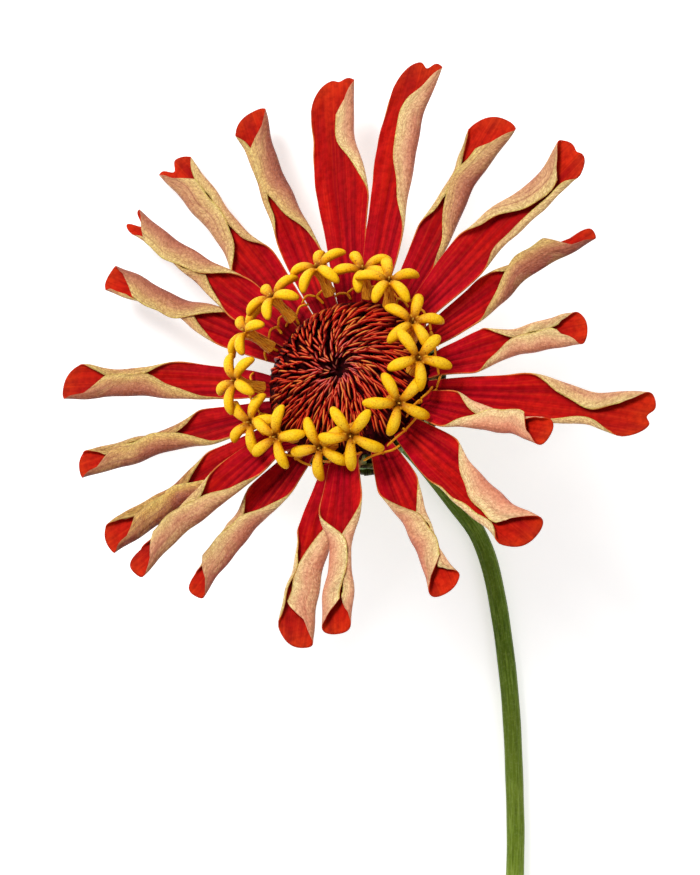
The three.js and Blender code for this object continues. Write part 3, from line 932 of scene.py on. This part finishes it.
def petal_back_finish():
    """The underside: cream or brown with a yellow margin, puckered between a net of veins, with
    painted shade and painted highlight across it and broad patches of painted golden highlight.
    """
    finish = Finish("petal back veined tan", 0.42, 0.3)
    blade = finish.effect("blade")
    uv, out = blade["UV"], blade["Out"]
    # Out from the midrib to the margin: the underside's own pinkish brown turning cream and yellow,
    # and with it painted shade, darkest under the flat middle and at the fold, and a painted
    # highlight on the rolled flap where it faces up.
    cream = finish.ramp(out, [
        (0, 0.34, 0.024, 0.018), (0.3, 0.52, 0.1, 0.06), (0.5, 0.86, 0.36, 0.2),
        (0.68, 0.98, 0.58, 0.32), (0.82, 1, 0.76, 0.38), (0.94, 1, 0.84, 0.42),
        (0.985, 0.85, 0.72, 0.18),
    ])
    brown = finish.ramp(out, [
        (0, 0.1, 0.016, 0.008), (0.35, 0.18, 0.034, 0.013), (0.5, 0.34, 0.078, 0.028),
        (0.68, 0.52, 0.21, 0.06), (0.82, 0.7, 0.41, 0.09), (0.94, 0.84, 0.58, 0.15),
        (0.985, 0.78, 0.6, 0.14),
    ])
    warmth = finish.attribute("warmth")
    body = finish.mix(warmth, cream, brown)
    clouds = finish.streaks(uv, 3, 3.5)
    body = finish.over(body, clouds, [(0.34, 0.35), (0.5, 0)], rgb(0.5, 0.13, 0.07))
    # Broad patches of painted highlight, cream on the cream undersides and golden on the brown
    # ones.
    light = finish.mix(warmth, rgb(1, 0.78, 0.4), rgb(0.75, 0.52, 0.14))
    body = finish.over(body, clouds, [(0.5, 0), (0.7, 0.5)], light)
    streak = finish.streaks(uv, 46, 1.6)
    vein = finish.mix(warmth, rgb(0.6, 0.17, 0.09), rgb(0.16, 0.02, 0.01))
    body = finish.over(body, streak, [(0.3, 0.6), (0.47, 0)], vein)
    cells = finish.vector_math("MULTIPLY", uv, (22, 46, 1))
    wobble = finish.add("ShaderNodeTexNoise", {"Vector": cells, "Scale": 0.5, "Detail": 3})
    wobble = finish.vector_math("MULTIPLY", wobble.outputs["Color"], (2.6, 2.6, 2.6))
    bent = {"Vector": finish.vector_math("ADD", cells, wobble), "Scale": 1}
    net = finish.add("ShaderNodeTexVoronoi", bent, feature="DISTANCE_TO_EDGE")
    from_vein = net.outputs["Distance"]
    body = finish.over(body, from_vein, [(0, 0.5), (0.12, 0)], vein)
    down = finish.grain(body, rgb(0.5, 0.3, 0.2), 2600, 0.45)
    swell = finish.ramp(from_vein, [(0, 0), (0.3, 0.6)])
    height = finish.math("MULTIPLY_ADD", streak, 1.4, swell)
    return finish.finish(down["Color"], height, 0.9, 0.12)


def chaff_finish():
    """Red scales with a painted highlight along their keels and painted orange glints on some,
    painted shade at their feet and painted shade nearly black at the heart.
    """
    finish = Finish("chaff dark red", 0.45, 0.1)
    blade = finish.effect("blade")
    uv, along, out = blade["UV"], blade["Along"], blade["Out"]
    heart = finish.attribute("heart")
    tone = finish.attribute("tone")
    # The scale's red towards the tip, with painted shade darkening it to near black towards the
    # foot, down among the scales.
    body = finish.ramp(along, [
        (0, 0.01, 0, 0.001), (0.4, 0.1, 0, 0.002), (0.75, 0.5, 0.003, 0.008),
        (1, 0.9, 0.02, 0.015),
    ])
    # Painted highlight: a brighter red to pink down the keel of each scale's upper part.
    keel = finish.ramp(out, [(0.12, 1), (0.4, 0)])
    keel = finish.math("MULTIPLY", keel, finish.ramp(along, [(0.3, 0), (0.65, 1)]))
    crest = finish.ramp(heart, [
        (0.1, 1, 0.09, 0.02), (0.5, 1, 0.2, 0.08), (0.75, 1, 0.25, 0.25),
    ])
    body = finish.mix(keel, body, crest)
    # Painted glints: orange on the keels of the scales whose tone is high.
    painted_keel_glint = finish.math("MULTIPLY", finish.ramp(tone, [(0.5, 0), (0.9, 0.9)]), keel)
    body = finish.mix(painted_keel_glint, body, rgb(1, 0.4, 0.06))
    # Painted shade: nearly black in the middle of the disc.
    body = finish.over(body, heart, [(0.7, 0), (0.84, 0.9)], rgb(0.012, 0, 0.002))
    body = finish.over(body, tone, [(0, 0.6), (0.3, 0)], rgb(0.35, 0.12, 0.12), "MULTIPLY")
    streak = finish.streaks(uv, 12, 2)
    body = finish.over(body, streak, [(0.35, 0.4), (0.55, 0)], rgb(0.3, 0.06, 0.07), "MULTIPLY")
    return finish.finish(body, streak, 0.6, 0.08)


def dome_finish():
    # Nearly black: painted shade for the deep gaps between the scales.
    finish = Finish("chaff dome nearly black", 0.8, 0.05)
    patches = finish.noise(finish.place(), 500)
    body = finish.ramp(patches, [(0.35, 0.02, 0, 0.001), (0.7, 0.07, 0.002, 0.004)])
    return finish.grained(body, rgb(0.1, 0.1, 0.1), 1800, 0.9, 0.8, 0.2)


def floret_finish():
    """Golden lobes with a fine down, painted shade on their undersides and a painted highlight
    along their tops, a speckled throat with painted shade down in it, and a streaked tube.
    """
    finish = Finish("disc floret golden yellow", 0.5, 0.12)
    spread = finish.attribute("spread")
    rise = finish.attribute("rise")
    crest = finish.attribute("crest")
    place = finish.place()
    along_lobe = finish.math("DIVIDE", spread, LOBE_LENGTH)
    # Darker and browner towards the throat: painted shade down in the throat.
    body = finish.ramp(along_lobe, [
        (0.1, 0.36, 0.1, 0.002), (0.3, 0.85, 0.38, 0.002), (0.55, 1, 0.58, 0.003),
        (1, 1, 0.6, 0.004),
    ])
    # Painted shade: orange-brown where the surface faces down or to the side; painted highlight:
    # paler yellow where it faces straight up.
    body = finish.over(body, crest, [(0.3, 0.95), (0.5, 0.6), (0.8, 0)], rgb(0.52, 0.17, 0.001))
    body = finish.over(body, crest, [(0.88, 0), (1, 0.4)], rgb(1, 0.75, 0.05))
    fleck = finish.ramp(finish.noise(place, 5200, 1), [(0.28, 1), (0.36, 0)])
    throat = finish.ramp(along_lobe, [(0.15, 1), (0.6, 0.12)])
    body = finish.mix(finish.math("MULTIPLY", fleck, throat), body, rgb(0.2, 0.05, 0.002))
    way_round = finish.vector(finish.attribute("around"), rise)
    streak = finish.streaks(way_round, 5, 0.8)
    tube = finish.ramp(streak, [
        (0.35, 0.34, 0.07, 0.004), (0.5, 0.74, 0.28, 0.01), (0.65, 0.95, 0.55, 0.05),
    ])
    near = finish.math("LESS_THAN", spread, 1.25)
    below = finish.math("LESS_THAN", rise, 0)
    body = finish.mix(finish.math("MULTIPLY", near, below), body, tube)
    down = finish.grain(body, rgb(0.75, 0.5, 0.3), 5200, 0.55)
    height = finish.math("MULTIPLY_ADD", down["Height"], 0.6, finish.noise(place, 1200, 2))
    return finish.finish(down["Color"], height, 0.8, 0.12)


def ovary_finish():
    finish = Finish("ovary pale green", 0.5, 0.2)
    body = finish.ramp(finish.attribute("along"), [
        (0, 0.5, 0.55, 0.3), (0.6, 0.42, 0.5, 0.18), (1, 0.5, 0.14, 0.06),
    ])
    return finish.grained(body, rgb(0.4, 0.5, 0.3), 1500, 0.5, 0.6, 0.12)


def anther_finish():
    finish = Finish("anther brown", 0.5, 0.1)
    body = finish.ramp(finish.attribute("along"), [
        (0, 0.3, 0.1, 0.005), (0.6, 0.2, 0.06, 0.004), (0.8, 0.5, 0.2, 0.01),
        (1, 0.9, 0.6, 0.1),
    ])
    return finish.grained(body, rgb(0.3, 0.2, 0.1), 2800, 0.5, 0.6, 0.1)


def style_finish():
    finish = Finish("style thread orange yellow", 0.5, 0.15)
    patches = finish.noise(finish.place(), 900)
    body = finish.ramp(patches, [(0.3, 0.85, 0.27, 0.004), (0.6, 1, 0.46, 0.01)])
    return finish.grained(body, rgb(0.7, 0.45, 0.3), 2500, 0.6, 0.8, 0.1)


def bract_finish():
    """Green scales with a pale foot, faint veins and a dark papery margin."""
    finish = Finish("bract green", 0.5, 0.2)
    blade = finish.effect("blade")
    body = finish.ramp(blade["Along"], [
        (0, 0.26, 0.36, 0.1), (0.4, 0.11, 0.23, 0.03), (0.82, 0.08, 0.18, 0.02),
        (0.9, 0.18, 0.2, 0.04), (0.955, 0.03, 0.018, 0.012), (1, 0.025, 0.012, 0.01),
    ])
    streak = finish.streaks(blade["UV"], 26, 1.6)
    body = finish.over(body, streak, [(0.45, 0), (0.75, 0.55)], rgb(0.3, 0.4, 0.12))
    margin = [(0.82, 0), (0.93, 0.45), (0.985, 0.8)]
    body = finish.over(body, blade["Out"], margin, rgb(0.36, 0.38, 0.16))
    shaded = finish.ramp(finish.attribute("tone"), [(0, 0.3), (1, 0)])
    body = finish.mix(shaded, body, rgb(0.6, 0.7, 0.4), "MULTIPLY")
    return finish.finish(body, streak, 0.6, 0.15)


def receptacle_finish():
    finish = Finish("receptacle green", 0.55, 0.2)
    patches = finish.noise(finish.place(), 260)
    body = finish.ramp(patches, [(0.3, 0.07, 0.15, 0.02), (0.7, 0.18, 0.26, 0.05)])
    return finish.grained(body, rgb(0.5, 0.6, 0.4), 900, 0.6, 0.6, 0.2)


def stem_finish():
    """Olive green, darker at the neck, paler along its fine ribs, with white pith at the cut."""
    finish = Finish("stem olive green", 0.5, 0.12)
    along = finish.attribute("along")
    around = finish.attribute("around")
    place = finish.place()
    ribs = finish.math("SINE", finish.math("MULTIPLY", around, STEM_RIBS))
    ribbed = finish.vector(ribs, along, around)
    lines = finish.streaks(ribbed, 1.4, 42)
    body = finish.ramp(lines, [
        (0.3, 0.075, 0.13, 0.004), (0.5, 0.16, 0.25, 0.014), (0.7, 0.34, 0.46, 0.09),
    ])
    patches = finish.noise(place, 120)
    body = finish.over(body, patches, [(0.4, 0), (0.7, 0.5)], rgb(0.22, 0.27, 0.03))
    body = finish.over(body, along, [(0.35, 0.95), (0.6, 0)], rgb(0.55, 0.62, 0.35), "MULTIPLY")
    fuzz = finish.noise(place, 2600, 2)
    body = finish.over(body, fuzz, [(0.3, 0.25), (0.5, 0)], rgb(0.3, 0.38, 0.1))
    pith = finish.noise(place, 1600, 2)
    pith = finish.ramp(pith, [(0.35, 0.5, 0.55, 0.3), (0.65, 0.78, 0.78, 0.58)])
    body = finish.mix(finish.attribute("pith"), body, pith)
    return finish.finish(body, finish.math("MULTIPLY_ADD", fuzz, 0.5, lines), 0.7, 0.18)


# ---- the studio


def make_studio():
    """A pale floor, soft light from all round and a camera that looks straight down."""
    scene = bpy.context.scene
    deselect_all()
    bpy.ops.mesh.primitive_plane_add(size=FLOOR_SIZE, location=(0, 0, -FLOOR_GAP))
    floor = named_piece("studio_floor")
    white = Finish(
        "studio white", 0.9, 0.5, Base_Color=rgb(0.93, 0.93, 0.93),
        Emission_Color=rgb(1, 1, 1), Emission_Strength=0.5,
    )
    floor.data.materials.append(white.material)
    world = bpy.data.worlds.new("studio")
    world.use_nodes = True
    background = world.node_tree.nodes["Background"]
    background.inputs["Color"].default_value = rgb(1, 1, 1)
    background.inputs["Strength"].default_value = 0.35
    scene.world = world
    scene.view_settings.view_transform = "Standard"
    for name, place, size, power in LAMPS:
        light = bpy.data.lights.new(name, "AREA")
        light.size = size
        light.energy = power
        lamp = bpy.data.objects.new(name, light)
        lamp.location = HEAD_PLACE + Vector(place)
        lamp.rotation_euler = (-Vector(place)).to_track_quat("-Z", "Y").to_euler()
        scene.collection.objects.link(lamp)
    data = bpy.data.cameras.new("camera")
    data.lens = LENS
    data.sensor_width = SENSOR_WIDTH
    camera = bpy.data.objects.new("camera", data)
    camera.location = HEAD_PLACE + Vector(CAMERA_PLACE)
    scene.collection.objects.link(camera)
    scene.camera = camera


make_blade_effect()
make_streaks_effect()
make_grain_effect()
make_petals(petal_face_finish(), petal_back_finish())
make_ovaries(ovary_finish())
make_styles(style_finish())
make_dome(dome_finish())
make_chaff(chaff_finish())
make_florets(floret_finish())
make_anthers(anther_finish())
make_receptacle(receptacle_finish())
make_bracts(bract_finish())
make_stem(stem_finish())
make_studio()
